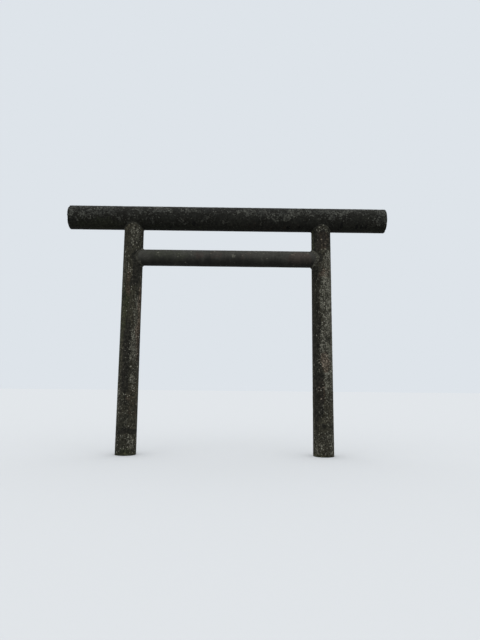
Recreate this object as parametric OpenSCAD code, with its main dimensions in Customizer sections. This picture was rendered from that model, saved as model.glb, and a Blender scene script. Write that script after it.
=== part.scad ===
// Round-timber torii gate in cast concrete: two leaning, tapered posts carry a straight top beam
// on saddle-cut heads, and a thinner tie beam butts between them. Mortar beds and fillets close the
// four joints. X runs along the beams, Y through the gateway, Z up from the ground.

/* [Posts] */
// Distance between the centres of the two posts at the ground
post_spacing = 4250; // [3600:10:5400]
// Diameter of a post at the ground
post_foot_d = 450; // [430:5:600]
// Diameter that the post's taper reaches at the height of the top beam's axis
post_head_d = 425; // [415:5:500]
// How far each post leans inwards between the ground and the top beam's axis
post_lean = 25; // [0:5:100]

/* [Top beam] */
// Height of the top beam's axis above the ground
top_beam_z = 5210; // [4800:10:6500]
// Diameter of the top beam
top_beam_d = 535; // [480:5:700]
// Length of the top beam from end face to end face
top_beam_length = 7090; // [5300:10:9000]
// Radius of the worn arris round each end face
top_beam_arris_r = 12; // [4:1:40]

/* [Tie beam] */
// Height of the tie beam's axis above the ground
tie_beam_z = 4305; // [3600:5:4600]
// Diameter of the tie beam
tie_beam_d = 365; // [240:5:385]

/* [Mortar joints] */
// Thickness of the mortar bed between a post and the beam that it meets
mortar_bed = 6; // [3:1:15]
// Reach of the mortar fillet round a post's head
head_fillet = 14; // [6:1:24]
// Reach of the mortar fillet round an end of the tie beam
tie_fillet = 20; // [8:1:28]
// How far a fillet's face is hollowed, from 0 for a flat bevel to 1 for a sharp inner corner
fillet_hollow = 0.6; // [0.2:0.1:0.9]

/* [Chipped end] */
// Radius of the hollow where the top beam's left end is chipped
chip_r = 95; // [60:5:140]
// Depth of the chip, measured along the beam from the end face
chip_depth = 24; // [10:1:40]
// Angle of the chip above the level of the beam's axis, on the front
chip_angle = 50; // [20:5:75]

/* [Hidden] */

$fn = 128;

post_colour = [0.40, 0.41, 0.35];
beam_colour = [0.33, 0.34, 0.31];
tie_colour = [0.38, 0.38, 0.36];
mortar_colour = [0.58, 0.58, 0.54];

right = 1;
left = -1;

post_foot_r = post_foot_d / 2;
post_head_r = post_head_d / 2;
top_beam_r = top_beam_d / 2;
tie_beam_r = tie_beam_d / 2;

lean_angle = atan(post_lean / top_beam_z);
// Length of the post's own axis from the ground to the top beam's axis, and what the radius loses over it
post_axis_length = top_beam_z / cos(lean_angle);
post_taper = (post_foot_r - post_head_r) / post_axis_length;

// A post starts this far under the ground before its foot is cut level
foot_allowance = 20;
// A fillet's ring starts this deep in the pieces that it joins, and is then cut back to their true surfaces
root_depth = 10;
// The two edges of a fillet's face start this deep, so that the face meets both surfaces cleanly
feather = 0.6;
// Steps round a fillet, and steps across its hollow face
fillet_steps = 60;
hollow_steps = 3;

// Radius of the post at a distance along its own axis
function post_r(along) = post_foot_r - post_taper * along;

// Place across the gate of the right post's axis at a height
function post_axis_x(z) = post_spacing / 2 - post_lean * z / top_beam_z;

// Place across the gate of the right post's inner face, at a height and a distance from the gate's middle plane
function post_face_x(y, z) =
    post_axis_x(z) - sqrt(pow(post_r(z / cos(lean_angle)), 2) - y * y);

// Height along the post's own axis at which a point this far out meets the underside of the top beam
function beam_underside(out, turn) =
    (top_beam_z - sqrt(pow(top_beam_r, 2) - pow(out * sin(turn), 2)) - out * cos(turn) * sin(lean_angle))
    / cos(lean_angle);

// Points of a hollow face from toe a to toe b, drawn in towards the corner c
function hollow_face(a, b, c) =
    let (pull = (a + b) / 2 * (1 - fillet_hollow) + c * fillet_hollow)
    [for (i = [0 : hollow_steps])
        let (t = i / hollow_steps)
        a * pow(1 - t, 2) + pull * 2 * t * (1 - t) + b * pow(t, 2)];

// How far out a fillet's tip lies, where it follows a surface with this slope away from the axis
function tip_radius(corner_r, slope, reach) = corner_r + reach / sqrt(1 + slope * slope);

// Outline of a fillet's ring: its hollow face, and a root inside the two pieces that it joins
function fillet_outline(toe, tip, corner) = [
    toe - [root_depth, 0],
    each hollow_face(toe, tip, corner),
    tip + [0, root_depth],
    corner + [-root_depth, root_depth]
];

// Section of a head fillet at one turn round the post, as [distance from its axis, height along its axis]
function head_section(turn) =
    let (
        corner_z = beam_underside(post_r(top_beam_z), turn),
        corner_r = post_r(corner_z),
        slope = beam_underside(corner_r + 1, turn) - beam_underside(corner_r, turn),
        tip_r = tip_radius(corner_r, slope, head_fillet),
        toe_z = corner_z - mortar_bed - head_fillet
    )
    fillet_outline(
        [post_r(toe_z) - feather, toe_z],
        [tip_r, beam_underside(tip_r, turn) + feather],
        [corner_r, corner_z]
    );

// Place across the gate at which a line this far out from the tie beam's axis meets the right post,
// at one turn round the beam from straight down
function tie_face_x(out, turn) = post_face_x(out * sin(turn), tie_beam_z - out * cos(turn));

// Section of a tie beam fillet at one turn round the beam, as [distance from its axis, place across the gate]
function tie_section(turn) =
    let (
        corner_x = tie_face_x(tie_beam_r, turn),
        slope = tie_face_x(tie_beam_r + 1, turn) - corner_x,
        tip_r = tip_radius(tie_beam_r, slope, tie_fillet)
    )
    fillet_outline(
        [tie_beam_r - feather, corner_x - mortar_bed - tie_fillet],
        [tip_r, tie_face_x(tip_r, turn) + feather],
        [tie_beam_r, corner_x]
    );

// Closed ring through sections given as [distance from the axis, place along it], one for each turn
module ring(sections) {
    turns = len(sections);
    size = len(sections[0]);
    points = [for (i = [0 : turns - 1], p = sections[i])
        let (turn = 360 * i / turns)
        [p[0] * cos(turn), p[0] * sin(turn), p[1]]];
    faces = [for (i = [0 : turns - 1], j = [0 : size - 1])
        let (
            i2 = (i + 1) % turns,
            j2 = (j + 1) % size,
            a = i * size + j,
            b = i * size + j2,
            c = i2 * size + j2,
            d = i2 * size + j
        )
        each [[a, b, c], [a, c, d]]];
    polyhedron(points = points, faces = faces, convexity = 6);
}

// Keeps what is made for the right half of the gate, or turns it into its mirror image for the left
module on_side(side) {
    mirror([side == left ? 1 : 0, 0, 0])
        children();
}

// Places what stands along Z on a post's own leaning axis
module at_post(side) {
    on_side(side)
        translate([post_spacing / 2, 0, 0])
            rotate([0, -lean_angle, 0])
                children();
}

// Lays what stands along Z down along X, with its foot at x = 0
module along_x() {
    rotate([0, 90, 0])
        children();
}

// The post's tapered shaft on its own axis, carried on to the top beam's axis
module post_shaft(grow = 0) {
    translate([0, 0, -foot_allowance])
        cylinder(
            h = post_axis_length + foot_allowance,
            r1 = post_r(-foot_allowance) + grow,
            r2 = post_r(post_axis_length) + grow
        );
}

// The top beam's round body, square cut, or grown by the thickness of a bed
module top_beam_body(grow = 0) {
    translate([-top_beam_length / 2, 0, top_beam_z])
        along_x()
            cylinder(h = top_beam_length, r = top_beam_r + grow);
}

// Everything under the ground
module ground() {
    depth = 3 * foot_allowance;
    reach = 2 * post_foot_d;
    translate([post_spacing / 2 - reach, -reach, -depth])
        cube([2 * reach, 2 * reach, depth]);
}

module post(side) {
    color(post_colour)
        difference() {
            at_post(side)
                post_shaft();
            on_side(side)
                ground();
            top_beam_body(mortar_bed);
        }
}

// Half of the top beam's outline, with its arrises rounded
module top_beam_outline() {
    a = top_beam_arris_r;
    square([top_beam_r - a, top_beam_length]);
    translate([0, a])
        square([top_beam_r, top_beam_length - 2 * a]);
    for (end = [a, top_beam_length - a])
        translate([top_beam_r - a, end])
            circle(r = a);
}

module top_beam() {
    color(beam_colour)
        difference() {
            translate([-top_beam_length / 2, 0, top_beam_z])
                along_x()
                    rotate_extrude()
                        top_beam_outline();
            translate([
                -top_beam_length / 2 + chip_depth - chip_r,
                -top_beam_r * cos(chip_angle),
                top_beam_z + top_beam_r * sin(chip_angle)
            ])
                sphere(r = chip_r);
        }
}

// The tie beam's round body from one post's axis to the other's
module tie_beam_body() {
    half = post_axis_x(tie_beam_z);
    translate([-half, 0, tie_beam_z])
        along_x()
            cylinder(h = 2 * half, r = tie_beam_r);
}

module tie_beam() {
    color(tie_colour)
        difference() {
            tie_beam_body();
            at_post(left)
                post_shaft(mortar_bed);
            at_post(right)
                post_shaft(mortar_bed);
        }
}

// Core of a mortar bed along Z, held inside the ring of its fillet
module bed_core(from, to, r) {
    translate([0, 0, from])
        cylinder(h = to - from, r = r - root_depth / 2);
}

// Bed and fillet between a post's head and the top beam
module head_mortar(side) {
    core_start = top_beam_z - top_beam_r - mortar_bed - root_depth;
    color(mortar_colour)
        difference() {
            at_post(side) {
                bed_core(core_start, post_axis_length, post_r(core_start));
                ring([for (i = [0 : fillet_steps - 1]) head_section(360 * i / fillet_steps)]);
            }
            post(side);
            top_beam_body();
        }
}

// Bed and fillet between an end of the tie beam and its post
module tie_mortar(side) {
    post_x = post_axis_x(tie_beam_z);
    core_start = post_x - post_foot_r - mortar_bed - root_depth;
    color(mortar_colour)
        difference() {
            on_side(side)
                translate([0, 0, tie_beam_z])
                    along_x() {
                        bed_core(core_start, post_x, tie_beam_r);
                        ring([for (i = [0 : fillet_steps - 1]) tie_section(360 * i / fillet_steps)]);
                    }
            at_post(side)
                post_shaft();
            tie_beam();
        }
}

module left_post() { post(left); }
module right_post() { post(right); }
module left_post_head_mortar() { head_mortar(left); }
module right_post_head_mortar() { head_mortar(right); }
module tie_beam_left_mortar() { tie_mortar(left); }
module tie_beam_right_mortar() { tie_mortar(right); }

left_post();
right_post();
top_beam();
tie_beam();
left_post_head_mortar();
right_post_head_mortar();
tie_beam_left_mortar();
tie_beam_right_mortar();
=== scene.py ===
import math

import bpy
import numpy as np
from mathutils import Matrix, Vector, noise


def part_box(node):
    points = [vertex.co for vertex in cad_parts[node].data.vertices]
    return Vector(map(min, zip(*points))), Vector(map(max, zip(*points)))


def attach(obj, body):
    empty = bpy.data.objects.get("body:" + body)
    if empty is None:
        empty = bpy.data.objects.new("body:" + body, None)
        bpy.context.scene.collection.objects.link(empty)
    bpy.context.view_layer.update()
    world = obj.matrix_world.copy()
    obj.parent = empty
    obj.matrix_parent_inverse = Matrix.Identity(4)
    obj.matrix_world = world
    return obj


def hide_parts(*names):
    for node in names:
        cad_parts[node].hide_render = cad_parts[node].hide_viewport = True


left = -1
right = 1

print("Loading the packed gate")
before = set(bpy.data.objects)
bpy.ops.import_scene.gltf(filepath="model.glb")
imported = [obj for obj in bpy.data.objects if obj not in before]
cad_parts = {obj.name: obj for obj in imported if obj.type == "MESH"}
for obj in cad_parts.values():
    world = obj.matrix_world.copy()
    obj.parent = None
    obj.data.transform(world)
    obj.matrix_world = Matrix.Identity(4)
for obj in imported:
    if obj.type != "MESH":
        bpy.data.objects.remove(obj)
bpy.ops.object.select_all(action="DESELECT")
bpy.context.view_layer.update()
print(" ", len(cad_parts), "solids")


# A colour as a screen shows it, 0 to 255, turned into the linear one that a shader takes, by the standard
# curve of screens
def fromScreen(red, green, blue):
    shares = [level / 255 for level in (red, green, blue)]
    linear = [share / 12.92 if share <= 0.04045 else ((share + 0.055) / 1.055) ** 2.4 for share in shares]
    return (*linear, 1)


# From 0 at the low value to 1 at the high one, without a corner at either
def ease(value, low, high):
    share = np.clip((value - low) / (high - low), 0, 1)
    return share * share * (3 - 2 * share)


print("Camera, floor and light")
# The photo's own viewpoint: a little right of the gate's middle, at eye height, looking slightly up
cameraSetup = {
    "lensMm": 29.18,
    "across": 0.1786,
    "distance": 11.3845,
    "height": 1.5651,
    "pitchDeg": 6.806,
    "yawDeg": 0.602,
    "rollDeg": 0.575,
}
cameraData = bpy.data.cameras.new("gateCamera")
cameraData.lens = cameraSetup["lensMm"]
camera = bpy.data.objects.new("gateCamera", cameraData)
camera.matrix_world = (
    Matrix.Translation((cameraSetup["across"], -cameraSetup["distance"], cameraSetup["height"]))
    @ Matrix.Rotation(math.radians(-cameraSetup["yawDeg"]), 4, "Z")
    @ Matrix.Rotation(math.radians(90 + cameraSetup["pitchDeg"]), 4, "X")
    @ Matrix.Rotation(math.radians(cameraSetup["rollDeg"]), 4, "Z")
)
bpy.context.scene.collection.objects.link(camera)
bpy.context.scene.camera = camera

studio = {
    "backdrop": fromScreen(222, 228, 234),
    "skyLight": fromScreen(222, 228, 236),
    "floorSeen": fromScreen(184, 185, 185),
    "floorBounce": fromScreen(108, 107, 102),
    "floorSize": 160,
    "lampStrength": 2.7,
    "lampSpreadDeg": 150,
    "lampHeight": 10,
}


def addNode(tree, kind, links=None, **settings):
    node = tree.nodes.new("ShaderNode" + kind)
    for name, value in settings.items():
        setattr(node, name, value)
    for socket, source in (links or {}).items():
        if isinstance(source, bpy.types.NodeSocket):
            tree.links.new(source, node.inputs[socket])
        else:
            node.inputs[socket].default_value = source
    return node


def calc(tree, operation, first, second):
    return addNode(tree, "Math", {0: first, 1: second}, operation=operation).outputs[0]


def between(tree, value, low, high, toLow=0.0, toHigh=1.0):
    links = {"Value": value, "From Min": low, "From Max": high, "To Min": toLow, "To Max": toHigh}
    return addNode(tree, "MapRange", links, interpolation_type="SMOOTHSTEP").outputs[0]


def sloped(tree, value, slope, start):
    return addNode(tree, "Math", {0: value, 1: slope, 2: start}, operation="MULTIPLY_ADD").outputs[0]


def plus(tree, first, second):
    return calc(tree, "ADD", first, second)


def minus(tree, first, second):
    return calc(tree, "SUBTRACT", first, second)


def times(tree, first, second):
    return calc(tree, "MULTIPLY", first, second)


def most(tree, first, second):
    return calc(tree, "MAXIMUM", first, second)


def blendColours(tree, amount, under, over, how="MIX"):
    node = addNode(tree, "Mix", {0: amount, 6: under, 7: over}, data_type="RGBA", blend_type=how)
    return node.outputs[2]


def scaled(tree, colour, amount):
    return addNode(tree, "VectorMath", {0: colour, "Scale": amount}, operation="SCALE").outputs[0]


# 1 for what the camera sees itself, in a mirror or through glass, and 0 for light that bounces
def seenDirectly(tree):
    path = addNode(tree, "LightPath").outputs
    seen = most(tree, path["Is Camera Ray"], path["Is Glossy Ray"])
    return most(tree, seen, path["Is Transmission Ray"])


def hangSky():
    world = bpy.data.worlds.new("studio")
    world.use_nodes = True
    tree = world.node_tree
    tree.nodes.clear()
    colour = blendColours(tree, seenDirectly(tree), studio["skyLight"], studio["backdrop"])
    sky = addNode(tree, "Background", {"Color": colour})
    tree.links.new(sky.outputs[0], addNode(tree, "OutputWorld").inputs["Surface"])
    bpy.context.scene.world = world
    bpy.context.scene.view_settings.view_transform = "Standard"


def layFloor():
    bpy.ops.mesh.primitive_plane_add(size=studio["floorSize"])
    floor = bpy.context.object
    floor.name = "floor"
    paleFloor = bpy.data.materials.new("paleFloor")
    paleFloor.use_nodes = True
    tree = paleFloor.node_tree
    shader = tree.nodes["Principled BSDF"]
    colour = blendColours(tree, seenDirectly(tree), studio["floorBounce"], studio["floorSeen"])
    tree.links.new(colour, shader.inputs["Base Color"])
    shader.inputs["Roughness"].default_value = 1
    shader.inputs["Specular IOR Level"].default_value = 0
    floor.data.materials.append(paleFloor)


def hangLamp():
    lampData = bpy.data.lights.new("overcastLamp", "SUN")
    lampData.energy = studio["lampStrength"]
    lampData.angle = math.radians(studio["lampSpreadDeg"])
    lamp = bpy.data.objects.new("overcastLamp", lampData)
    lamp.location.z = studio["lampHeight"]
    bpy.context.scene.collection.objects.link(lamp)


hangSky()
layFloor()
hangLamp()


print("Measuring the gate")
gate = {
    "postSpacing": 4.25,
    "postFootRadius": 0.225,
    "postHeadRadius": 0.2125,  # that the taper reaches at the top beam's axis
    "postLean": 0.025,
    "bed": 0.006,
    "underground": 0.02,  # by which a post's blank is too long before its foot is cut level
}
formers = {"sides": 192, "length": 1}  # the round solids that cut the joints
smoothUnderDeg = 50  # edges that turn by less are shaded smooth
hair = 0.0001  # places nearer to each other than this are taken as one
almostZero = 0.000001  # stands in for a distance of zero where something is divided by it
topLow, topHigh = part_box("top_beam")
topBeamZ = (topLow.z + topHigh.z) / 2
topBeamRadius = (topHigh.z - topLow.z) / 2
topBeamEnd = topHigh.x
tieLow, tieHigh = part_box("tie_beam")
tieBeamZ = (tieLow.z + tieHigh.z) / 2
tieBeamRadius = (tieHigh.z - tieLow.z) / 2
leanAngle = math.atan(gate["postLean"] / topBeamZ)


def postAxisX(side, z):
    return side * (gate["postSpacing"] / 2 - gate["postLean"] * z / topBeamZ)


def postRadius(z):
    return gate["postFootRadius"] + (gate["postHeadRadius"] - gate["postFootRadius"]) * z / topBeamZ


def pickOnly(piece):
    bpy.ops.object.select_all(action="DESELECT")
    piece.select_set(True)
    bpy.context.view_layer.objects.active = piece


def settle(piece, name):
    piece.name = name
    piece.data.name = name
    pickOnly(piece)
    bpy.ops.object.transform_apply(location=True, rotation=True, scale=True)
    return piece


def valuesOf(items, name, width=1, kind=float):
    found = np.empty(len(items) * width, kind)
    items.foreach_get(name, found)
    return found.reshape(-1, width) if width > 1 else found


def pointsOf(piece):
    return valuesOf(piece.data.vertices, "co", 3)


def movePoints(piece, points):
    piece.data.vertices.foreach_set("co", points.ravel())
    piece.data.update()


def edgesOf(piece):
    return valuesOf(piece.data.edges, "vertices", 2, int)


meshParts = ("vertices", "edges", "polygons")


# Selects some edges, faces or points of a piece by a list of true and false, and enters edit mode
def editThese(piece, kind, chosen):
    pickOnly(piece)
    bpy.context.tool_settings.mesh_select_mode = [kind == part for part in meshParts]
    for part in meshParts:
        items = getattr(piece.data, part)
        items.foreach_set("select", chosen if part == kind else [False] * len(items))
    bpy.ops.object.mode_set(mode="EDIT")


def leaveEdit():
    bpy.ops.object.mode_set(mode="OBJECT")


def applied(piece, kind, **settings):
    pickOnly(piece)
    modifier = piece.modifiers.new(kind.lower(), kind)
    for name, value in settings.items():
        setattr(modifier, name, value)
    bpy.ops.object.modifier_apply(modifier=modifier.name)


# Cuts a former's shape away from a piece, or keeps only what lies inside the former
def trim(piece, former, operation="DIFFERENCE"):
    applied(piece, "BOOLEAN", operation=operation, solver="EXACT", object=former)
    bpy.data.objects.remove(former)


# Pushes a piece's skin out and in by a pattern, or all of it by the same height where there is none
def displace(piece, strength, texture=None, middle=0.5, group=""):
    applied(piece, "DISPLACE", texture=texture, strength=strength, mid_level=middle, vertex_group=group)


# Cuts the long edges that run along one axis into rows, a few cuts at a time
def cutRows(piece, axis, counts):
    for count in counts:
        points = pointsOf(piece)
        edges = edgesOf(piece)
        reach = np.abs(points[edges[:, 0], axis] - points[edges[:, 1], axis])
        editThese(piece, "edges", reach > hair)
        bpy.ops.mesh.subdivide(number_cuts=count - 1)
        leaveEdit()


def postBlank(side, grow, sides, name, foot=-gate["underground"]):
    length = topBeamZ - foot
    middle = foot + length / 2
    bpy.ops.mesh.primitive_cone_add(
        vertices=sides,
        radius1=postRadius(foot) + grow,
        radius2=postRadius(topBeamZ) + grow,
        depth=length / math.cos(leanAngle),
        location=(postAxisX(side, middle), 0, middle),
        rotation=(0, -side * leanAngle, 0),
    )
    return settle(bpy.context.object, name)


def beamBlank(radius, length, x, z, sides, name):
    bpy.ops.mesh.primitive_cylinder_add(
        vertices=sides,
        radius=radius,
        depth=length,
        location=(x, 0, z),
        rotation=(0, math.pi / 2, 0),
    )
    return settle(bpy.context.object, name)


def postFormer(side, grow):
    return postBlank(side, grow, formers["sides"], "postFormer")


def topBeamFormer(radius, x):
    return beamBlank(radius, formers["length"], x, topBeamZ, formers["sides"], "topBeamFormer")


print("Weathering tools")
patchFade = {"gone": 1.4, "over": 0.9}  # where a patch ends, as a share of its half width, and its soft rim
stainsRagged = 0.2  # how far the noise frays the warm and the green stains


# Layered noise over a piece's points, from about -1 to 1, with features of about one size. Each finer layer
# has half the size and half the height of the one before.
def noiseOver(points, size, layers, shift, stretch=(1, 1, 1)):
    places = points / (size * np.array(stretch)) + shift
    return np.array([noise.fractal(Vector(place), 1.0, 2.0, layers) for place in places.tolist()])


# Adds some noises to a value, each by its own amount
def moved(value, amounts, *noises):
    for amount, layer in zip(amounts, noises):
        value = value + amount * layer
    return value


# How strongly a list of grown or worn patches covers each place, given as a turn round the member in degrees
# and a distance along it
def patchCover(turn, along, patches):
    cover = np.zeros(len(turn))
    for patchTurn, spread, patchAlong, reach, strength in patches:
        turnedBy = (turn - patchTurn + 180) % 360 - 180
        far = np.hypot(turnedBy / spread, (along - patchAlong) / reach)
        cover = np.maximum(cover, strength * ease(patchFade["gone"] - far, 0, patchFade["over"]))
    return cover


def setLayer(piece, name, values):
    layer = piece.data.attributes.new(name, "FLOAT", "POINT")
    layer.data.foreach_set("value", np.asarray(values, np.float32))


# Stores the layers that a member's concrete reads
def setWeather(piece, growth, crust, grimeAndShade, cover, broad, fine):
    setLayer(piece, "growth", growth)
    setLayer(piece, "crust", crust)
    setLayer(piece, "grimeAndShade", np.clip(grimeAndShade, 0, 1))
    setLayer(piece, "warmth", np.clip(cover("warmth") + stainsRagged * fine, 0, 1))
    setLayer(piece, "algae", np.clip(cover("algae") + stainsRagged * broad, 0, 1))


def weighGroup(piece, name, weights):
    group = piece.vertex_groups.new(name=name)
    for index, weight in enumerate(weights.tolist()):
        group.add([index], weight, "REPLACE")


# A cloudy height pattern with features of about one size. A ramp's two stops sharpen it into lone clods.
def reliefTexture(name, size, layers, ramp=()):
    texture = bpy.data.textures.new(name, "CLOUDS")
    texture.noise_basis = "IMPROVED_PERLIN"
    texture.noise_scale = size
    texture.noise_depth = layers
    texture.use_color_ramp = len(ramp) > 0
    for index, (position, level) in enumerate(ramp):
        texture.color_ramp.elements[index].position = position
        texture.color_ramp.elements[index].color = (level, level, level, 1)
    return texture


swells = reliefTexture("swells", 0.42, 2)
castSkin = reliefTexture("castSkin", 0.035, 3)
crustClods = reliefTexture("crustClods", 0.05, 4, ramp=((0.42, 0), (0.62, 1)))
mortarLumps = reliefTexture("mortarLumps", 0.09, 3)


# Gives a member its relief: long swells, a rough cast skin, crust where lichen grows and hollows where it is
# spalled. The crust is settled by a third of its height, so that it doesn't thicken the member.
def addRelief(piece, relief, growth, hollow, loose):
    weighGroup(piece, "loose", loose)
    weighGroup(piece, "growth", growth * loose)
    weighGroup(piece, "hollow", hollow)
    displace(piece, relief["swell"], swells, group="loose")
    displace(piece, relief["skin"], castSkin, group="loose")
    before = pointsOf(piece)
    displace(piece, relief["crust"], crustClods, middle=0, group="growth")
    crust = np.linalg.norm(pointsOf(piece) - before, axis=1) / relief["crust"]
    displace(piece, -relief["crust"] / 3, middle=0, group="growth")
    displace(piece, -relief["hollow"], middle=0, group="hollow")
    piece.vertex_groups.clear()
    return crust


# The share that each distance keeps when those that pass a limit are eased back to just under it
def shareHeldUnder(distances, limit, softness):
    held = -softness * np.logaddexp(-distances / softness, -limit / softness)
    return held / np.maximum(distances, almostZero)


# Lays a round member out flat in a UV map: its surface unrolled in two strips, each half its
# length, with its end faces in a column beside them. Flat holds the two coordinates across its axis, the
# second one to the front.
def unrollMember(piece, axis, flat):
    mesh = piece.data
    gap = 0.015
    counts = valuesOf(mesh.polygons, "loop_total", 1, int)
    face = np.repeat(np.arange(len(counts)), counts)
    corner = valuesOf(mesh.loops, "vertex_index", 1, int)
    normals = valuesOf(mesh.polygons, "normal", 3)[:, axis]
    along = pointsOf(piece)[:, axis]
    low = along.min()
    half = (along.max() - low) / 2
    radius = np.hypot(flat[:, 0], flat[:, 1]).max()
    strip = 2 * math.pi * radius

    def average(values):
        return (np.bincount(face, values[corner]) / counts)[face]

    faceAlong = average(along)
    faceTurn = np.arctan2(average(flat[:, 0]), average(flat[:, 1]))
    turn = np.arctan2(flat[:, 0], flat[:, 1])[corner]
    turn = faceTurn + (turn - faceTurn + math.pi) % (2 * math.pi) - math.pi
    second = faceAlong > low + half
    facesAlong = np.abs(normals)[face] > 0.5
    atEnd = facesAlong & (np.abs(faceAlong - low - half) > half - radius)
    endColumn = flat[corner, 0] + radius + half + 3 * gap
    acrossMap = np.where(atEnd, endColumn, along[corner] - low - half * second + gap)
    upMap = np.where(atEnd, flat[corner, 1] + radius, turn * radius + strip / 2) + gap
    upMap += second * (strip + 2 * gap)
    places = np.stack([acrossMap / (half + 2 * radius + 4 * gap), upMap / (2 * strip + 4 * gap)], 1)
    layer = mesh.uv_layers.new(name="OFBake")
    layer.data.foreach_set("uv", places.astype(np.float32).ravel())


def unrollBeam(beam, axisZ):
    points = pointsOf(beam)
    unrollMember(beam, 0, np.stack([points[:, 2] - axisZ, -points[:, 1]], 1))


def finishSurface(piece, look, node):
    piece.data.materials.clear()
    piece.data.materials.append(look)
    pickOnly(piece)
    bpy.ops.object.shade_smooth_by_angle(angle=math.radians(smoothUnderDeg))
    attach(piece, "root")
    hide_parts(node)
    print(" ", node, len(piece.data.polygons), "faces")


print("Concrete finishes")
# Noise patterns: how many features to the metre, layers of detail, and how rough they are
patterns = {
    "pull": (40, 4, 0.5),
    "clouding": (1.1, 4, 0.6),
    "runs": (1, 5, 0.62),
    "streaks": (3.5, 4, 0.6),
    "warmth": (13, 6, 0.75),
    "algae": (9, 6, 0.7),
    "mottle": (28, 5, 0.76),
    "blotches": (19, 2, 0.6),
    "grit": (32, 5, 0.75),
    "gaps": (40, 3, 0.75),
    "tones": (36, 4, 0.6),
    "otherLichen": (5, 3, 0.6),
    "clusters": (1.8, 3, 0.6),
    "grain": (160, 4, 0.7),
    "coarse": (48, 4, 0.78),
}
# The two levels between which a pattern fades in
fades = {
    "clouding": (0.35, 0.65),
    "streaks": (0.3, 0.7),
    "mottle": (0.35, 0.68),
    "blotches": (0.36, 0.66),
    "dirt": (0.1, 0.7),
    "gritty": (-0.02, 0.04),
    "worn": (0.24, 0.36),
    "gaps": (0.44, 0.49),
    "paleness": (0.3, 1),
    "otherLichen": (0.42, 0.62),
    "clusters": (0.44, 0.6),
    "chance": (-0.04, 0.04),
    "grain": (0.3, 0.7),
}
# How far a pattern darkens and lightens the colour, as shares of the finish's own amount
swings = {"streaks": (1, 1), "mottle": (1, 1.3), "blotches": (0.6, 0.8), "grain": (1, 1)}
# Round spots: how many cells to the metre, the usual radius as a share of a cell, and how soft the rim is
spots = {
    "rosettes": (10, 0.42, 0.06),
    "thalli": (25, 0.5, 0.1),
    "smallThalli": (44, 0.45, 0.14),
    "specks": (24, 0.3, 0.08),
    "pits": (36, 0.34, 0.1),
    "pores": (105, 0.4, 0.2),
}
# How the layers act on each other, the same in every finish
layering = {
    "spotRadius": {"least": 0.5, "more": 0.6},  # times the usual one, and what chance may add
    # The stains, and the grime with its painted shade, all spread by this level
    "spreadLevel": {"bare": 0.8, "drop": 0.5},  # the noise that a stain needs, and how far its layer lowers it
    "gritLevel": {"bare": 0.82, "drop": 0.4, "crustDrop": 0.05},
    "gritOnWear": 0.3,
    "wornMiddle": 0.4,
    "thalliShare": 0.7,
    "smallThalliShare": 0.55,
    "ownTone": 0.7,
    "mixedTone": 0.8,
    "otherLichen": 0.5,
    "clusters": {"outside": 0.15, "inside": 2},
    "poreShare": 0.3,
    "poreDepth": 0.8,
    "pitShade": 0.75,
    "heights": {"lichen": 0.5, "coarse": 0.5, "mottle": 0.6, "grain": 0.3},
}


def layerOf(tree, name):
    return addNode(tree, "Attribute", attribute_name=name).outputs["Fac"]


def speckle(tree, kind, at, output="Fac"):
    scale, detail, roughness = patterns[kind]
    links = {"Vector": at, "Scale": scale, "Detail": detail, "Roughness": roughness}
    return addNode(tree, "TexNoise", links).outputs[output]


def faded(tree, value, kind, toLow=0.0, toHigh=1.0):
    return between(tree, value, *fades[kind], toLow, toHigh)


def cloudy(tree, kind, at, toLow=0.0, toHigh=1.0):
    return faded(tree, speckle(tree, kind, at), kind, toLow, toHigh)


# Darkens and lightens a colour by a pattern
def varied(tree, colour, pattern, kind, amount):
    darker, lighter = swings[kind]
    return scaled(tree, colour, faded(tree, pattern, kind, 1 - darker * amount, 1 + lighter * amount))


# Coordinates pulled about a little, so that no round patch is a true circle
def pulledAbout(tree, place, amount):
    pull = speckle(tree, "pull", place, "Color")
    pull = addNode(tree, "VectorMath", {0: pull, 1: (0.5, 0.5, 0.5)}, operation="SUBTRACT").outputs[0]
    pull = scaled(tree, pull, amount)
    return addNode(tree, "VectorMath", {0: place, 1: pull}, operation="ADD").outputs[0]


# Round spots of one kind, at most one to a cell: the more density, the more cells have theirs. Also gives how
# far a place lies inside the rim, and a tone of the spot's own.
def spotted(tree, kind, density, at):
    scale, usual, rim = spots[kind]
    radii = layering["spotRadius"]
    cells = addNode(tree, "TexVoronoi", {"Vector": at, "Scale": scale})
    chance = addNode(tree, "SeparateColor", {0: cells.outputs["Color"]}).outputs
    there = faded(tree, minus(tree, density, chance[0]), "chance")
    radius = sloped(tree, chance[1], usual * radii["more"], usual * radii["least"])
    inwards = minus(tree, radius, cells.outputs["Distance"])
    return times(tree, between(tree, inwards, 0.0, rim), there), inwards, chance[2]


# A share that spreads through a pattern as its layer's weight rises: the stains, and the grime with its
# painted shade
def spreadMask(tree, look, kind, pattern):
    level = layering["spreadLevel"]
    edge = sloped(tree, layerOf(tree, kind), -level["drop"], level["bare"])
    softness = look[kind + "Softness"]
    share = between(tree, minus(tree, pattern, edge), -softness, softness)
    return times(tree, share, look[kind + "Cover"])
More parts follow.
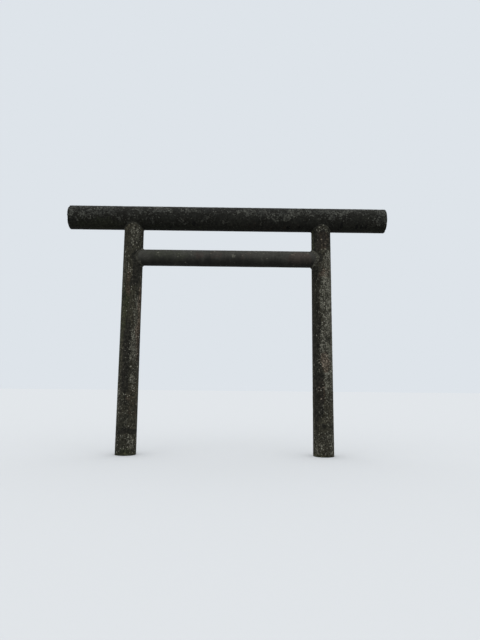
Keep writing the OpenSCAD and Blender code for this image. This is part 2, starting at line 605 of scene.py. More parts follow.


# The cast skin: two tones, streaks, stains, grime with painted shade, and mottle, and darker where lichen
# grows.
# Streaks, grime and painted shade run along the stretched coordinates, so they are longer than they are wide.
def castSkinColour(tree, look, place, stretched, warmed, mottle):
    colour = blendColours(tree, cloudy(tree, "clouding", place), look["base"], look["baseAlt"])
    colour = varied(tree, colour, speckle(tree, "streaks", stretched), "streaks", look["streaks"])
    colour = blendColours(tree, warmed, colour, look["warm"])
    algae = spreadMask(tree, look, "algae", speckle(tree, "algae", place))
    colour = blendColours(tree, algae, colour, look["algae"])
    grimeAndShade = spreadMask(tree, look, "grimeAndShade", speckle(tree, "runs", stretched))
    colour = blendColours(tree, grimeAndShade, colour, look["grimeAndShade"])
    colour = varied(tree, colour, mottle, "mottle", look["mottle"])
    colour = varied(tree, colour, speckle(tree, "blotches", place), "blotches", look["mottle"])
    dirty = faded(tree, layerOf(tree, "growth"), "dirt", 0.0, look["dirt"])
    return blendColours(tree, dirty, colour, look["pit"])


# Lichen in four sizes: rosettes with a worn middle, a gritty crust, thalli of a few centimetres, and small
# ones. Gives where it grows, where its dots are, and their tones.
def lichenCover(tree, look, place, ragged):
    growth = layerOf(tree, "growth")
    grit = speckle(tree, "grit", place)
    level = layering["gritLevel"]
    edge = sloped(tree, growth, -level["drop"], level["bare"])
    edge = minus(tree, edge, times(tree, layerOf(tree, "crust"), level["crustDrop"]))
    gritty = faded(tree, minus(tree, grit, edge), "gritty")
    rosettes, inwards, _ = spotted(tree, "rosettes", times(tree, growth, look["rosettes"]), ragged)
    worn = plus(tree, inwards, times(tree, grit, layering["gritOnWear"]))
    rosettes = times(tree, rosettes, faded(tree, worn, "worn", 1.0, layering["wornMiddle"]))
    thalli, _, tones = spotted(tree, "thalli", times(tree, growth, layering["thalliShare"]), ragged)
    density = times(tree, growth, layering["smallThalliShare"])
    dots = most(tree, thalli, spotted(tree, "smallThalli", density, ragged)[0])
    lichen = most(tree, most(tree, gritty, dots), rosettes)
    return times(tree, lichen, cloudy(tree, "gaps", place)), dots, tones


def lichenColour(tree, look, place, warmed, dots, tones):
    mixed = times(tree, speckle(tree, "tones", place), layering["mixedTone"])
    tone = plus(tree, times(tree, tones, layering["ownTone"]), mixed)
    tone = plus(tree, tone, times(tree, minus(tree, dots, 0.5), look["dotLift"]))
    colour = blendColours(tree, faded(tree, tone, "paleness"), look["lichen"], look["lichenPale"])
    other = cloudy(tree, "otherLichen", place, 0.0, layering["otherLichen"])
    colour = blendColours(tree, other, colour, look["lichenAlt"])
    return blendColours(tree, warmed, colour, look["warmTint"], "MULTIPLY")


def loneSpecks(tree, look, place, ragged):
    share = look["speckShare"]
    clusters = layering["clusters"]
    density = cloudy(tree, "clusters", place, clusters["outside"] * share, clusters["inside"] * share)
    return spotted(tree, "specks", density, ragged)[0]


def pitsAndPores(tree, look, ragged):
    pits = spotted(tree, "pits", look["pitShare"], ragged)[0]
    pores = spotted(tree, "pores", layering["poreShare"], ragged)[0]
    return most(tree, pits, times(tree, pores, layering["poreDepth"]))


# Relief that is too fine for the mesh
def fineRelief(tree, look, raised, pits):
    height = 0.0
    for kind, share in layering["heights"].items():
        height = plus(tree, times(tree, raised[kind], share), height)
    links = {"Strength": look["bump"], "Distance": look["bumpDepth"], "Height": minus(tree, height, pits)}
    return addNode(tree, "Bump", links).outputs[0]


# Weathered concrete: stained cast skin, then lichen, lone pale specks and small dark pits
def concreteLook(name, look):
    material = bpy.data.materials.new(name)
    material.use_nodes = True
    tree = material.node_tree
    shader = tree.nodes["Principled BSDF"]
    place = addNode(tree, "TexCoord").outputs["Object"]
    ragged = pulledAbout(tree, place, look["ragged"])
    stretched = addNode(tree, "Mapping", {"Vector": ragged, "Scale": look["runs"]}).outputs[0]
    warmed = spreadMask(tree, look, "warmth", speckle(tree, "warmth", place))
    mottle = speckle(tree, "mottle", place)
    grain = speckle(tree, "grain", place)
    colour = castSkinColour(tree, look, place, stretched, warmed, mottle)

    lichen, dots, tones = lichenCover(tree, look, place, ragged)
    grown = lichenColour(tree, look, place, warmed, dots, tones)
    colour = blendColours(tree, times(tree, lichen, look["lichenCover"]), colour, grown)
    colour = blendColours(tree, loneSpecks(tree, look, place, ragged), colour, look["speck"])
    pits = pitsAndPores(tree, look, ragged)
    colour = blendColours(tree, times(tree, pits, layering["pitShade"]), colour, look["pit"])
    colour = varied(tree, colour, grain, "grain", look["grain"])
    tree.links.new(colour, shader.inputs["Base Color"])

    coarse = speckle(tree, "coarse", place)
    raised = {"lichen": lichen, "coarse": coarse, "mottle": mottle, "grain": grain}
    tree.links.new(fineRelief(tree, look, raised, pits), shader.inputs["Normal"])
    shader.inputs["Roughness"].default_value = look["roughness"]
    shader.inputs["Specular IOR Level"].default_value = look["sheen"]
    return material


everyFinish = {
    "lichen": fromScreen(69, 67, 59),
    "lichenPale": fromScreen(136, 134, 121),
    "lichenAlt": fromScreen(94, 92, 80),
    "speck": fromScreen(136, 134, 121),
    "pit": fromScreen(21, 20, 16),
    "algae": fromScreen(45, 49, 32),
    "warm": fromScreen(66, 53, 43),
    "warmTint": (1.15, 0.86, 0.8, 1),
    "rosettes": 0.15,
    "dotLift": 0.0,
    "ragged": 0.025,
    "streaks": 0.14,
    "grimeAndShadeSoftness": 0.12,
    "warmthSoftness": 0.1,
    "algaeSoftness": 0.16,
    "grain": 0.28,
    "bumpDepth": 0.008,
    "roughness": 0.93,
    "sheen": 0.12,
}
postFinish = {
    **everyFinish,
    "base": fromScreen(56, 53, 43),
    "baseAlt": fromScreen(47, 46, 38),
    "mottle": 0.6,
    "grimeAndShade": fromScreen(32, 31, 27),
    "grimeAndShadeCover": 0.85,
    "warmthCover": 0.55,
    "algaeCover": 0.6,
    "dirt": 0.35,
    "lichenCover": 0.9,
    "speckShare": 0.06,
    "dotLift": 0.5,
    "pitShare": 0.16,
    "runs": (11, 11, 1.4),
    "bump": 0.7,
}
topBeamFinish = {
    **everyFinish,
    "base": fromScreen(36, 36, 31),
    "baseAlt": fromScreen(31, 31, 28),
    "mottle": 0.4,
    "lichen": fromScreen(25, 25, 22),
    "lichenPale": fromScreen(87, 87, 80),
    "lichenAlt": fromScreen(35, 36, 34),
    "rosettes": 0.4,
    "speck": fromScreen(104, 106, 100),
    # A near-black colour for the narrow dark marks and for the painted shade under the beam
    "grimeAndShade": fromScreen(13, 13, 12),
    "grimeAndShadeCover": 0.9,
    "warmthCover": 0.3,
    "algaeCover": 0.25,
    "dirt": 0.85,
    "lichenCover": 0.92,
    "speckShare": 0.015,
    "pitShare": 0.05,
    "runs": (12, 1.6, 1.6),
    "bump": 0.8,
}
tieBeamFinish = {
    **everyFinish,
    "base": fromScreen(63, 62, 57),
    "baseAlt": fromScreen(58, 57, 52),
    "mottle": 0.14,
    # The dark colour towards the underside is painted shade, spread softly from the bottom
    "grimeAndShade": fromScreen(20, 20, 18),
    "grimeAndShadeCover": 0.83,
    "grimeAndShadeSoftness": 0.32,
    "grain": 0.14,
    "warm": fromScreen(70, 58, 53),
    "warmthCover": 0.5,
    "algaeCover": 0.4,
    "dirt": 0.0,
    "lichenCover": 0.6,
    "speckShare": 0.015,
    "pitShare": 0.03,
    "runs": (5, 1.2, 1.2),
    "streaks": 0.07,
    "bump": 0.3,
    "sheen": 0.22,
}
mortarFinish = {
    **everyFinish,
    "base": fromScreen(72, 71, 63),
    "baseAlt": fromScreen(58, 57, 50),
    "mottle": 0.45,
    "grimeAndShade": fromScreen(38, 38, 35),
    "grimeAndShadeCover": 0.6,
    "warmthCover": 0.4,
    "algaeCover": 0.4,
    "dirt": 0.2,
    "lichenCover": 0.85,
    "speckShare": 0.06,
    "pitShare": 0.12,
    "runs": (10, 10, 3),
    "bump": 0.8,
}
postLook = concreteLook("postConcrete", postFinish)
topBeamLook = concreteLook("topBeamConcrete", topBeamFinish)
tieBeamLook = concreteLook("tieBeamConcrete", tieBeamFinish)
mortarLook = concreteLook("jointMortar", mortarFinish)


print("Posts")
postShape = {
    "sides": 136,
    "rows": (7, 10, 7),  # cut in three rounds, 490 in all
    "room": 0.0004,  # by which the blank is thinner than the solid, so that the relief fits into it
    "relief": {"swell": 0.004, "skin": 0.0016, "crust": 0.0035, "hollow": 0.012},
    "heldNearJoint": 0.03,
    "collarLine": {"from": 0.03, "width": 0.018, "strength": 0.65, "ragged": 0.01},
    "broad": {"size": 0.4, "layers": 3},
    "fine": {"size": 0.1, "layers": 4, "stretch": (1, 1, 2.2)},
    "fineShift": 5,  # between the two noises of one post
    "turnRagged": (8, 9),  # degrees by which the broad and the fine noise move the patches
    "heightRagged": (0.1, 0.06),
    "hollowRagged": {"turn": 6, "height": 0.012},
    "lichenSpeckled": (0.85, 0.45),  # how much of a patch is always there, and how much is up to the noise
    "lichenEverywhere": 0.06,
    "lichenBroad": 0.06,
    "grimeEverywhere": 0.25,
    "grimeBroad": 0.25,
}
# Each patch: turn from the front towards +X in degrees, half its width in degrees, height, half its height,
# strength
leftPost = {
    "shift": 3.0,
    "lichen": [
        (18, 34, 4.78, 0.36, 0.85),
        (42, 26, 3.0, 0.55, 0.95),
        (38, 28, 2.35, 0.6, 1.1),
        (40, 26, 1.75, 0.5, 0.75),
        # A pale lichen band towards the left edge, low down: lichen, and painted highlight where sky light
        # catches that edge
        (-48, 24, 1.15, 0.6, 0.8),
        (5, 50, 0.9, 0.35, 0.4),
        (-30, 40, 4.05, 0.3, 0.5),
        (-10, 30, 3.8, 0.3, 0.4),
        (170, 60, 3.4, 1.0, 0.85),
        (-140, 30, 1.8, 0.9, 0.75),
        (110, 30, 4.2, 0.7, 0.7),
        (0, 180, 0.28, 0.22, 0.5),
        (32, 40, 0.3, 0.2, 0.95),
    ],
    "grimeAndShade": [
        (32, 30, 3.95, 0.3, 0.9),
        (-8, 22, 2.2, 0.95, 0.8),
        (0, 180, 0.53, 0.05, 0.9),
        (100, 30, 2.0, 1.5, 0.7),
        (-85, 18, 3.9, 1.0, 0.8),
        (88, 18, 4.1, 0.8, 0.8),
        (-170, 20, 2.0, 1.2, 0.7),
    ],
    "warmth": [
        (-14, 20, 3.6, 0.35, 0.8),
        (66, 26, 2.9, 1.1, 0.8),
        (40, 40, 1.1, 0.5, 0.5),
        (0, 180, 0.05, 0.05, 0.6),
    ],
    "algae": [
        (-35, 40, 3.1, 0.7, 0.9),
        (-75, 34, 2.4, 0.9, 1.0),
        (0, 180, 0.02, 0.12, 1.0),
        (180, 60, 1.2, 1.0, 0.8),
    ],
    "hollow": [],
}
rightPost = {
    "shift": 11.0,
    "lichen": [
        (37, 62, 3.45, 1.2, 1.15),
        (32, 62, 2.3, 1.05, 1.1),
        (36, 54, 1.15, 0.7, 0.62),
        (5, 50, 4.98, 0.09, 0.6),
        (24, 10, 4.6, 0.05, 0.8),
        (150, 40, 3.6, 1.2, 0.85),
        (-160, 30, 2.4, 1.0, 0.7),
        # A thin pale lichen line along the left edge: lichen, and painted highlight where sky light catches
        # that edge
        (-88, 12, 1.5, 1.4, 0.75),
        (0, 180, 0.26, 0.24, 0.65),
    ],
    "grimeAndShade": [
        (-50, 32, 2.6, 1.9, 1.15),
        (-24, 26, 1.4, 0.35, 0.95),
        (0, 70, 4.74, 0.28, 0.6),
        (-28, 20, 1.05, 0.26, 1.2),
        (-16, 16, 1.7, 0.04, 1.2),
        (0, 180, 0.6, 0.05, 0.5),
        (-140, 30, 3.2, 1.2, 0.7),
    ],
    "warmth": [
        (0, 44, 4.7, 0.22, 1.2),
        (10, 40, 3.95, 0.12, 0.7),
        (10, 40, 2.0, 0.25, 0.9),
        (-15, 26, 1.4, 0.3, 0.9),
        (0, 180, 0.04, 0.05, 0.5),
    ],
    "algae": [
        (-58, 24, 4.75, 0.4, 0.9),
        (-60, 36, 3.4, 1.2, 0.9),
        (-40, 30, 2.2, 0.5, 0.8),
        (0, 180, 0.02, 0.06, 0.8),
        (180, 50, 1.5, 1.2, 0.8),
    ],
    "hollow": [(-16, 15, 1.7, 0.035, 1.0), (-30, 10, 0.98, 0.08, 0.8)],
}


# A dark line on the post round the mortar at the tie beam's end, where the fillet meets the post: dirt
# gathered there, and painted shade of that crease
def dirtAndShadeLine(side, points, fine):
    line = postShape["collarLine"]
    fromTie = np.hypot(points[:, 1], points[:, 2] - tieBeamZ) - tieBeamRadius
    fromLine = fromTie - line["from"] - line["ragged"] * fine
    nearTie = side * (postAxisX(side, points[:, 2]) - points[:, 0]) > 0
    return line["strength"] * nearTie * (1 - ease(np.abs(fromLine), 0, line["width"]))


def buildPost(side, name, weather):
    post = postBlank(side, -postShape["room"], postShape["sides"], name)
    cutRows(post, 2, postShape["rows"])
    editThese(post, "polygons", [True] * len(post.data.polygons))
    bpy.ops.mesh.bisect(plane_co=(0, 0, 0), plane_no=(0, 0, 1), use_fill=True, clear_inner=True)
    leaveEdit()
    trim(post, topBeamFormer(topBeamRadius + gate["bed"], postAxisX(side, topBeamZ)))

    points = pointsOf(post)
    height = points[:, 2]
    turn = np.degrees(np.arctan2(points[:, 0] - postAxisX(side, height), -points[:, 1]))
    broad = noiseOver(points, shift=weather["shift"], **postShape["broad"])
    fine = noiseOver(points, shift=weather["shift"] + postShape["fineShift"], **postShape["fine"])
    turnMoved = moved(turn, postShape["turnRagged"], broad, fine)
    heightMoved = moved(height, postShape["heightRagged"], broad, fine)

    def cover(kind):
        return patchCover(turnMoved, heightMoved, weather[kind])

    solid, speckled = postShape["lichenSpeckled"]
    growth = cover("lichen") * (solid + speckled * fine) + postShape["lichenEverywhere"]
    growth = np.clip(growth + postShape["lichenBroad"] * broad, 0, 1)
    ragged = postShape["hollowRagged"]
    hollow = patchCover(turn + ragged["turn"] * fine, height + ragged["height"] * fine, weather["hollow"])
    toBeam = np.hypot(points[:, 1], height - topBeamZ) - topBeamRadius - gate["bed"]
    loose = ease(toBeam, 0, postShape["heldNearJoint"]) * ease(height, 0, postShape["heldNearJoint"])
    crust = addRelief(post, postShape["relief"], growth, hollow, loose)
    lined = dirtAndShadeLine(side, points, fine)
    grimeAndShade = cover("grimeAndShade") + postShape["grimeEverywhere"] + postShape["grimeBroad"] * broad + lined
    setWeather(post, growth * (1 - lined), crust, grimeAndShade, cover, broad, fine)
    points = pointsOf(post)
    unrollMember(post, 2, np.stack([points[:, 0] - postAxisX(side, points[:, 2]), -points[:, 1]], 1))
    finishSurface(post, postLook, node=name)


buildPost(left, "left_post", leftPost)
buildPost(right, "right_post", rightPost)


print("Top beam")
topBeam = {
    "sides": 144,
    "rows": (7, 9, 10),
    "room": 0.0022,
    "endRoom": 0.0025,
    "softness": 0.0008,
    "arris": 0.012,
    "arrisSteps": 3,
    "endRings": 20,
    "endFacing": 0.99,  # how straight a face looks along the beam if it belongs to an end
    "chip": {
        "radius": 0.095,
        "depth": 0.024,
        "turnDeg": 50,
        "roughness": 0.014,
        "finerWithin": 1.1,  # times the radius
        "finerCuts": 2,
        "formerSubdivisions": 5,
        "rim": 0.002,
        "stainRim": 0.004,
    },
    "relief": {"swell": 0.003, "skin": 0.0018, "crust": 0.0045, "hollow": 0.012},
    "nicks": {
        "depth": 0.6,
        "within": (0.014, 0.045),
        "rise": 0.5,
        "noise": {"size": 0.07, "layers": 3, "shift": 28.0},
    },
    "arrisHeld": {"share": 0.75, "fromAxis": (0.2, 0.25), "fromEnd": (0.01, 0.03)},  # against the relief
    "broad": {"size": 0.5, "layers": 3, "shift": 21.0},
    "middling": {"size": 0.25, "layers": 4, "shift": 24.0},
    "fine": {"size": 0.1, "layers": 4, "shift": 26.0},
    "turnRagged": (10, 16, 18),  # degrees by which the broad, middling and fine noise move the patches
    "alongRagged": 0.05,
    "grimeRagged": 3,
    "clumps": (0.25, 0.5, 0.35),  # how far the three noises thin out and thicken the crust on top
    "clumpsEven": 0.5,
    "crustFromDeg": -30,
    "crustToDeg": 202,
    "crustFadeDeg": 34,
    "lichenSpeckled": (0.9, 0.3),
    "lichenEverywhere": 0.03,
    "brokenBare": 0.7,
    "brokenGrime": 0.4,
    "grimeEverywhere": 0.06,
    "grimeBroad": 0.15,
    # Each patch: turn up from the front in degrees, half its width in degrees, place along X, half its
    # length, strength
    "lichen": [
        (15, 60, 3.44, 0.12, 1.1),
        (60, 80, -3.47, 0.06, 0.7),
        (14, 40, -3.0, 0.7, 0.5),
        (35, 30, -1.5, 0.9, 0.3),
        (20, 26, 1.5, 1.6, 0.3),
        (-16, 20, -3.16, 0.3, 0.8),
        (-22, 16, -2.3, 0.2, 0.7),
        (-26, 18, -1.68, 0.26, 0.75),
        (-30, 16, -1.0, 0.2, 0.75),
        (-20, 16, -0.42, 0.24, 0.7),
        (-34, 13, -0.07, 0.08, 0.8),
        (-8, 12, 0.11, 0.07, 0.8),
        (-28, 16, 0.77, 0.1, 0.8),
        (-14, 10, 1.08, 0.07, 0.85),
        (-12, 12, 2.0, 0.25, 0.5),
        (-24, 12, 2.65, 0.06, 0.7),
        (150, 60, -1.8, 1.2, 0.4),
        (190, 24, 0.9, 0.8, 0.6),
        (205, 20, -2.6, 0.4, 0.6),
    ],
    "grimeAndShade": [
        # These two long bands darken the front and back towards the underside: partly dirt, partly painted
        # shade. The narrow patches after them are dark marks and drips.
        (-75, 50, 0, 5, 0.25),
        (255, 50, 0, 5, 0.3),
        (-38, 20, 2.535, 0.026, 1.6),
        (-47, 13, 2.875, 0.032, 1.7),
        (-47, 13, 2.98, 0.026, 1.6),
        (-47, 13, 3.08, 0.022, 1.5),
        (-56, 12, 1.35, 0.05, 1.2),
        (-52, 10, 1.6, 0.025, 1.1),
        (-38, 16, -0.75, 0.04, 1.1),
    ],
    "warmth": [
        (-50, 30, 0.9, 0.8, 0.4),
        (200, 40, -1.0, 1.0, 0.5),
    ],
    "algae": [
        (-50, 40, -2.9, 0.7, 0.9),
        (-60, 30, -1.2, 0.9, 0.5),
        (215, 40, 1.0, 2.0, 0.8),
    ],
    "hollow": [
        (-56, 8, 1.35, 0.04, 1.0),
        (-52, 6, 1.6, 0.02, 0.8),
        (-50, 9, 2.9, 0.05, 0.5),
        (225, 9, -0.6, 0.05, 0.8),
    ],
}


def turnUp(points, axisZ):
    return np.degrees(np.arctan2(points[:, 2] - axisZ, -points[:, 1]))


# Presses the beam's arris in to a broken hollow, on a mesh made finer there, and gives how broken each
# point is
def chipEnd(beam):
    chip = topBeam["chip"]
    turn = math.radians(chip["turnDeg"])
    middle = np.array([
        chip["depth"] - chip["radius"] - topBeamEnd,
        -topBeamRadius * math.cos(turn),
        topBeamZ + topBeamRadius * math.sin(turn),
    ])
    centres = np.array([face.center for face in beam.data.polygons])
    near = np.linalg.norm(centres - middle, axis=1) < chip["radius"] * chip["finerWithin"]
    editThese(beam, "polygons", near)
    bpy.ops.mesh.subdivide(number_cuts=chip["finerCuts"])
    leaveEdit()
    bpy.ops.mesh.primitive_ico_sphere_add(
        subdivisions=chip["formerSubdivisions"],
        radius=chip["radius"],
        location=middle,
    )
    former = settle(bpy.context.object, "chipFormer")
    displace(former, chip["roughness"], castSkin)
    depth = chip["radius"] - np.linalg.norm(pointsOf(beam) - middle, axis=1)
    weighGroup(beam, "chipped", ease(depth, -chip["rim"], chip["rim"]))
    applied(beam, "SHRINKWRAP", target=former, wrap_method="NEAREST_SURFACEPOINT", vertex_group="chipped")
    bpy.data.objects.remove(former)
    return ease(depth, -chip["stainRim"], chip["stainRim"])


# The beam's round body, its arrises rounded and its end faces in rings fine enough to carry relief
def shapeTopBeam():
    radius = topBeamRadius - topBeam["room"]
    length = 2 * (topBeamEnd - topBeam["endRoom"])
    beam = beamBlank(radius, length, 0, topBeamZ, topBeam["sides"], "top_beam")
    cutRows(beam, 0, topBeam["rows"])
    points = pointsOf(beam)
    edges = edgesOf(beam)
    atEnd = np.abs(points[:, 0]) > length / 2 - hair
    editThese(beam, "edges", atEnd[edges[:, 0]] & atEnd[edges[:, 1]])
    bpy.ops.mesh.bevel(offset=topBeam["arris"], segments=topBeam["arrisSteps"], affect="EDGES")
    leaveEdit()
    normals = np.array([face.normal.x for face in beam.data.polygons])
    editThese(beam, "polygons", np.abs(normals) > topBeam["endFacing"])
    ringStep = (radius - topBeam["arris"]) / (topBeam["endRings"] + 1)
    for _ in range(topBeam["endRings"]):
        bpy.ops.mesh.inset(thickness=ringStep)
    bpy.ops.mesh.poke()
    leaveEdit()
    return beam


# Eases what the relief has raised past the solid's round body or its ends back inside them
def holdTopBeam(beam):
    points = pointsOf(beam)
    toEnds = shareHeldUnder(np.abs(points[:, 0]), topBeamEnd, topBeam["softness"])
    raised = np.hypot(points[:, 1], points[:, 2] - topBeamZ)
    toRadius = shareHeldUnder(raised, topHigh.y, topBeam["softness"])
    points[:, 0] *= toEnds
    points[:, 1:] -= (0, topBeamZ)
    points[:, 1:] *= toRadius[:, None]
    points[:, 1:] += (0, topBeamZ)
    movePoints(beam, points)


# Crust that caps the beam from its front over the top to its back, in clumps
def cappingCrust(turn, broad, middling, fine):
    upwards = (turn - topBeam["crustFromDeg"]) % 360
    span = topBeam["crustToDeg"] - topBeam["crustFromDeg"]
    fade = topBeam["crustFadeDeg"]
    capped = ease(upwards, 0, fade) * (1 - ease(upwards, span, span + fade))
    return capped * moved(topBeam["clumpsEven"], topBeam["clumps"], broad, middling, fine)


# Where the arrises are nicked, and how loose the skin is, which keeps their line between the nicks
def wearArrises(points):
    nicks = topBeam["nicks"]
    held = topBeam["arrisHeld"]
    toEnd = topBeamEnd - np.abs(points[:, 0])
    fromAxis = np.hypot(points[:, 1], points[:, 2] - topBeamZ)
    near = 1 - ease(np.maximum(topBeamRadius - fromAxis, toEnd), *nicks["within"])
    nicked = nicks["depth"] * near * ease(noiseOver(points, **nicks["noise"]), 0, nicks["rise"])
    loose = 1 - held["share"] * (ease(fromAxis, *held["fromAxis"]) * (1 - ease(toEnd, *held["fromEnd"])))
    return nicked, loose


def buildTopBeam():
    beam = shapeTopBeam()
    broken = chipEnd(beam)
    points = pointsOf(beam)
    along = points[:, 0]
    turn = turnUp(points, topBeamZ)
    broad = noiseOver(points, **topBeam["broad"])
    fine = noiseOver(points, **topBeam["fine"])
    middling = noiseOver(points, **topBeam["middling"])
    turnMoved = moved(turn, topBeam["turnRagged"], broad, middling, fine)
    alongMoved = along + topBeam["alongRagged"] * fine

    def cover(kind):
        return patchCover(turnMoved, alongMoved, topBeam[kind])

    solid, speckled = topBeam["lichenSpeckled"]
    patches = cover("lichen") * (solid + speckled * fine)
    growth = cappingCrust(turnMoved, broad, middling, fine) + patches + topBeam["lichenEverywhere"]
    growth = np.clip(growth, 0, 1) * (1 - topBeam["brokenBare"] * broken)
    nicked, loose = wearArrises(points)
    hollow = np.maximum(patchCover(turn, along, topBeam["hollow"]), nicked)
    crust = addRelief(beam, topBeam["relief"], growth, hollow, loose)
    holdTopBeam(beam)
    grimeAndShade = patchCover(turn + topBeam["grimeRagged"] * fine, along, topBeam["grimeAndShade"])
    grimeAndShade = grimeAndShade + topBeam["grimeEverywhere"] + topBeam["grimeBroad"] * broad
    setWeather(beam, growth, crust, grimeAndShade + topBeam["brokenGrime"] * broken, cover, broad, fine)
    unrollBeam(beam, topBeamZ)
    finishSurface(beam, topBeamLook, node="top_beam")


buildTopBeam()


print("Tie beam")
tieBeam = {
    "sides": 112,
    "rows": (8, 7, 7),
    "room": 0.0004,
    "relief": {"swell": 0.004, "skin": 0.0012, "crust": 0.002, "hollow": 0.005},
    "heldNearJoint": 0.03,
    "broad": {"size": 0.5, "layers": 3, "shift": 31.0},
    "fine": {"size": 0.09, "layers": 4, "shift": 36.0},
    "turnRagged": (8, 10),
    "alongRagged": (0.04, 0.03),
    "lichenSpeckled": (0.9, 0.4),
    "lichenEverywhere": 0.03,
    "grimeBroad": 0.15,
    # Patches as on the top beam
    "lichen": [
        (20, 30, -1.49, 0.05, 0.7),
        (20, 20, -1.04, 0.04, 0.6),
        (10, 14, 0.16, 0.06, 0.8),
        (20, 14, 1.45, 0.05, 0.8),
        (20, 16, 1.74, 0.06, 0.7),
        (100, 60, 0.8, 1.2, 0.6),
        (170, 30, -0.8, 0.8, 0.5),
    ],
    # One band that darkens the beam towards its underside: painted shade
    "grimeAndShade": [(-100, 107, 0, 3, 1.0)],
    "warmth": [
        (20, 40, -0.6, 0.14, 0.7),
        (20, 40, -0.25, 0.2, 0.6),
        (15, 40, 0.45, 0.2, 0.55),
        (-10, 60, 1.6, 0.3, 0.95),
        (150, 40, 0.9, 0.5, 0.8),
    ],
    "algae": [(0, 60, -1.35, 0.6, 0.75)],
    "hollow": [],
}


def buildTieBeam():
    reach = postAxisX(right, tieBeamZ)
    beam = beamBlank(tieBeamRadius - tieBeam["room"], 2 * reach, 0, tieBeamZ, tieBeam["sides"], "tie_beam")
    cutRows(beam, 0, tieBeam["rows"])
    for side in (left, right):
        trim(beam, postFormer(side, gate["bed"]))

    points = pointsOf(beam)
    along = points[:, 0]
    turn = turnUp(points, tieBeamZ)
    broad = noiseOver(points, **tieBeam["broad"])
    fine = noiseOver(points, **tieBeam["fine"])
    turnMoved = moved(turn, tieBeam["turnRagged"], broad, fine)
    alongMoved = moved(along, tieBeam["alongRagged"], broad, fine)

    def cover(kind):
        return patchCover(turnMoved, alongMoved, tieBeam[kind])

    solid, speckled = tieBeam["lichenSpeckled"]
    growth = np.clip(cover("lichen") * (solid + speckled * fine) + tieBeam["lichenEverywhere"], 0, 1)
    toPost = reach - postRadius(tieBeamZ) - np.abs(along)
    loose = ease(toPost, 0, tieBeam["heldNearJoint"])
    crust = addRelief(beam, tieBeam["relief"], growth, cover("hollow"), loose)
    setWeather(beam, growth, crust, cover("grimeAndShade") + tieBeam["grimeBroad"] * broad, cover, broad, fine)
    unrollBeam(beam, tieBeamZ)
    finishSurface(beam, tieBeamLook, node="tie_beam")


buildTieBeam()


print("Mortar joints")
mortar = {
    "around": 240,
    "section": 18,
    "headBead": 0.018,
    "tieBead": {left: 0.026, right: 0.034},
    "flatness": 0.9,  # 0 leaves the ring's section round, 1 makes the faces of the fillet flat
    "drawnIn": 0.25,  # 0 for not at all, 0.5 for as far as the other member's slope asks
    "lumps": 0.012,
    "skin": 0.003,
    "bedSides": 96,
    "bedInset": 0.008,
    "headBedDepth": 0.1,
    "tieBedLength": 0.4,
    "sunk": 0.004,
    "toeSunk": 0.001,
    "fine": {"size": 0.06, "layers": 4, "shift": 41.0},
    "growth": {"even": 0.3, "fine": 0.5},
    "crustFine": 0.5,
    "grimeFine": 0.4,
    # How dark each joint's mortar is made: the head mortar, under the top beam, much darker than the tie
    # mortar
    "headDarkening": 0.85,
    "tieDarkening": 0.3,
}


# A fillet round a joint: a ring pressed nearly flat across its corners, drawn in where the other member
# curves away from it, then lifted point by point onto the line where the two meet
def filletRing(name, middle, turned, ringRadius, joined, reach, lift):
    bpy.ops.mesh.primitive_torus_add(
        major_segments=mortar["around"],
        minor_segments=mortar["section"],
        major_radius=ringRadius,
        minor_radius=reach,
        location=middle,
        rotation=turned,
    )
    bead = bpy.context.object
    points = pointsOf(bead)
    fromAxis = np.hypot(points[:, 0], points[:, 1])
    outwards = fromAxis - ringRadius
    pressed = (reach / (np.abs(outwards) + np.abs(points[:, 2]))) ** mortar["flatness"]
    across = points[:, 1] / fromAxis * ringRadius
    slope = across**2 / ringRadius / np.sqrt(joined**2 - across**2)
    drawnIn = np.where(outwards > 0, (1 + slope**2) ** -mortar["drawnIn"], 1)
    points[:, :2] *= ((ringRadius + outwards * pressed * drawnIn) / fromAxis)[:, None]
    points[:, 2] *= pressed
    movePoints(bead, points)
    settle(bead, name)
    movePoints(bead, lift(pointsOf(bead)))
    displace(bead, mortar["lumps"], mortarLumps)
    displace(bead, mortar["skin"], castSkin)
    return bead


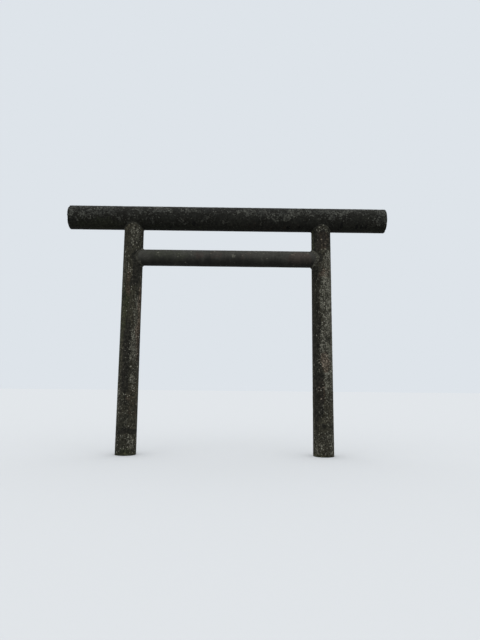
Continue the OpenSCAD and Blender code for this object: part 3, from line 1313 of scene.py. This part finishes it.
def finishMortar(bead, bed, name, darkening):
    pickOnly(bead)
    bed.select_set(True)
    bpy.ops.object.join()
    growth = mortar["growth"]
    fine = noiseOver(pointsOf(bead), **mortar["fine"])
    setLayer(bead, "growth", np.clip(growth["even"] + growth["fine"] * fine, 0, 1))
    setLayer(bead, "crust", np.clip(mortar["crustFine"] * fine, 0, 1))
    setLayer(bead, "grimeAndShade", np.clip(darkening + mortar["grimeFine"] * fine, 0, 1))
    finishSurface(bead, mortarLook, node=name)


def headMortar(side, name):
    def lift(points):
        points[:, 2] += topBeamZ - np.sqrt(topBeamRadius**2 - points[:, 1] ** 2)
        return points

    underside = topBeamZ - topBeamRadius
    axisX = postAxisX(side, underside)
    ringRadius = postRadius(underside) - mortar["toeSunk"]
    bead = filletRing(name, (axisX, 0, 0), (0, 0, 0), ringRadius, topBeamRadius, mortar["headBead"], lift)
    foot = underside - mortar["headBedDepth"]
    bed = postBlank(side, -mortar["bedInset"], mortar["bedSides"], "bed", foot=foot)
    trim(bed, topBeamFormer(topBeamRadius + gate["bed"] + mortar["sunk"], axisX), "INTERSECT")
    trim(bed, topBeamFormer(topBeamRadius, axisX))
    finishMortar(bead, bed, name, mortar["headDarkening"])


def tieMortar(side, name):
    axisX = postAxisX(side, tieBeamZ)
    joined = postRadius(tieBeamZ)

    def lift(points):
        points[:, 0] += axisX - side * np.sqrt(joined**2 - points[:, 1] ** 2)
        points[:, 0] -= side * gate["postLean"] / topBeamZ * (points[:, 2] - tieBeamZ)
        return points

    turned = (0, math.pi / 2, 0)
    ringRadius = tieBeamRadius - mortar["toeSunk"]
    bead = filletRing(name, (0, 0, tieBeamZ), turned, ringRadius, joined, mortar["tieBead"][side], lift)
    bedRadius = tieBeamRadius - mortar["bedInset"]
    length = mortar["tieBedLength"]
    bed = beamBlank(bedRadius, length, axisX - side * length / 2, tieBeamZ, mortar["bedSides"], "bed")
    trim(bed, postFormer(side, gate["bed"] + mortar["sunk"]), "INTERSECT")
    trim(bed, postFormer(side, 0))
    finishMortar(bead, bed, name, mortar["tieDarkening"])


headMortar(left, "left_post_head_mortar")
headMortar(right, "right_post_head_mortar")
tieMortar(left, "tie_beam_left_mortar")
tieMortar(right, "tie_beam_right_mortar")
